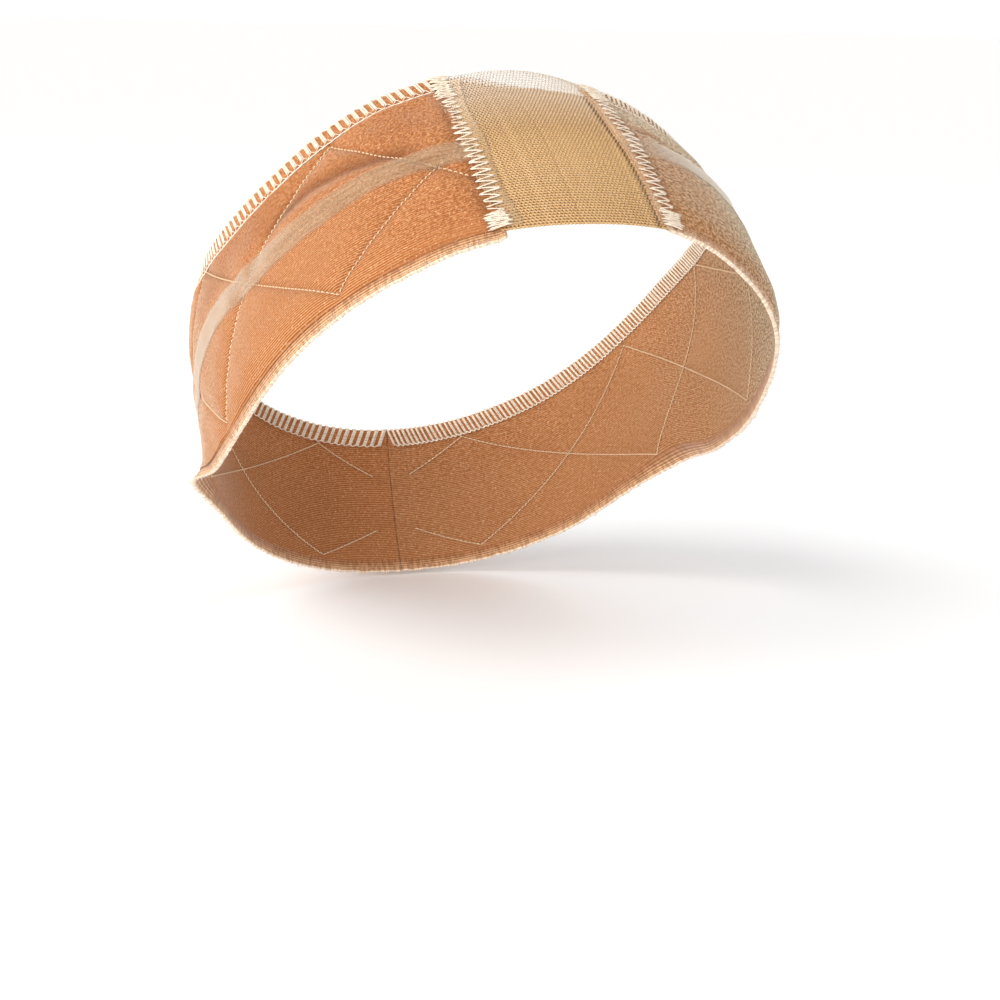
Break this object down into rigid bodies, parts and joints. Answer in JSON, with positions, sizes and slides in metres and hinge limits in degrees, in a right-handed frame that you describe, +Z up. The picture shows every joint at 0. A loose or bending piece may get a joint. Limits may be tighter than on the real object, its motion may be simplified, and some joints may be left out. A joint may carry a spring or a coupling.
{
  "type": "wig grip band",
  "caption": "Velvet headband worn under a wig to hold it, with a fine net panel at the front, elastic lower edging, clear grip strips and a hook-and-loop tab at the nape.",
  "frame": {"origin": "middle of the head that wears the band, at the head's widest level", "axes": "+X towards the wearer's left, -Y towards the front, +Z up"},
  "size_m": [0.1544, 0.1759, 0.1595],
  "materials": {
    "velvet": "short-pile stretch velvet, warm brown, pale sheen at grazing angles",
    "net": "fine hexagonal net, beige",
    "elastic": "ribbed soft elastic edging, peach with a pale fuzzy edge",
    "clear_strip": "frosted clear tape",
    "closure_tape": "hook-and-loop tape, tan"
  },
  "bodies": {
    "root": {"velvet_band_right": "velvet", "velvet_band_left": "velvet", "mesh_panel": "net", "edge_elastic_right": "elastic", "edge_elastic_left": "elastic", "clear_strip_right": "clear_strip", "clear_strip_left": "clear_strip", "back_closure": "closure_tape"}
  },
  "joints": []
}
